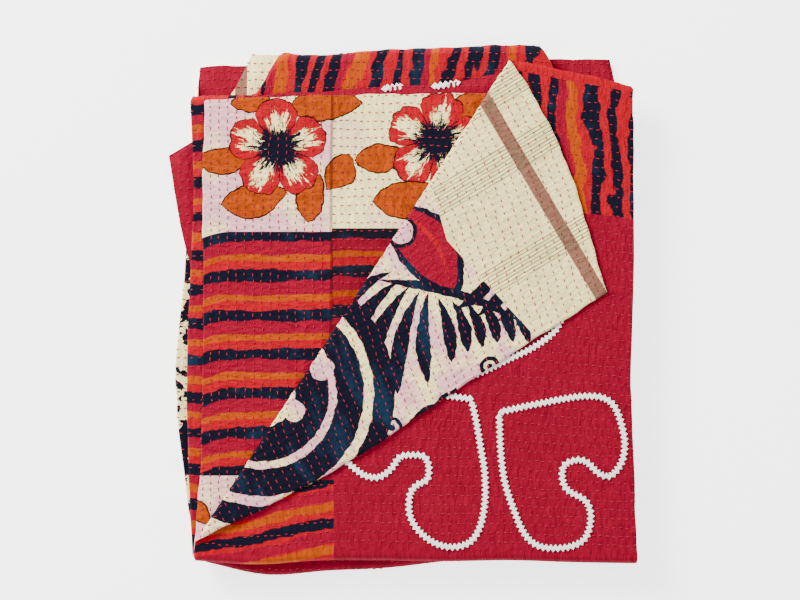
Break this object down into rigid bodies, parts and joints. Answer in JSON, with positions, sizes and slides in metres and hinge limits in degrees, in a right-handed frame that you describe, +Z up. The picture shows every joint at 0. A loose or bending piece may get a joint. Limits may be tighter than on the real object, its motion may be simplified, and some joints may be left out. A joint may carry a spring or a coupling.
{
  "type": "folded quilted patchwork throw",
  "caption": "Reversible quilted cotton throw, folded into a flat layered pile with its top corner turned back and zigzag braid sewn on in curled petals.",
  "frame": {"origin": "centre of the pile's underside, on the surface that it lies on", "axes": "+Z up through the layers, +Y along the folded length towards the loose ends, +X along the folded width"},
  "size_m": [0.4644, 0.5286, 0.0399],
  "materials": {
    "quilted_cotton": "matt, finely crinkled by running stitches",
    "rickrack_cotton": "matt woven zigzag braid"
  },
  "bodies": {
    "root": {"throw": "quilted_cotton", "rickrack_right": "rickrack_cotton", "rickrack_left": "rickrack_cotton", "rickrack_edge": "rickrack_cotton"}
  },
  "joints": []
}
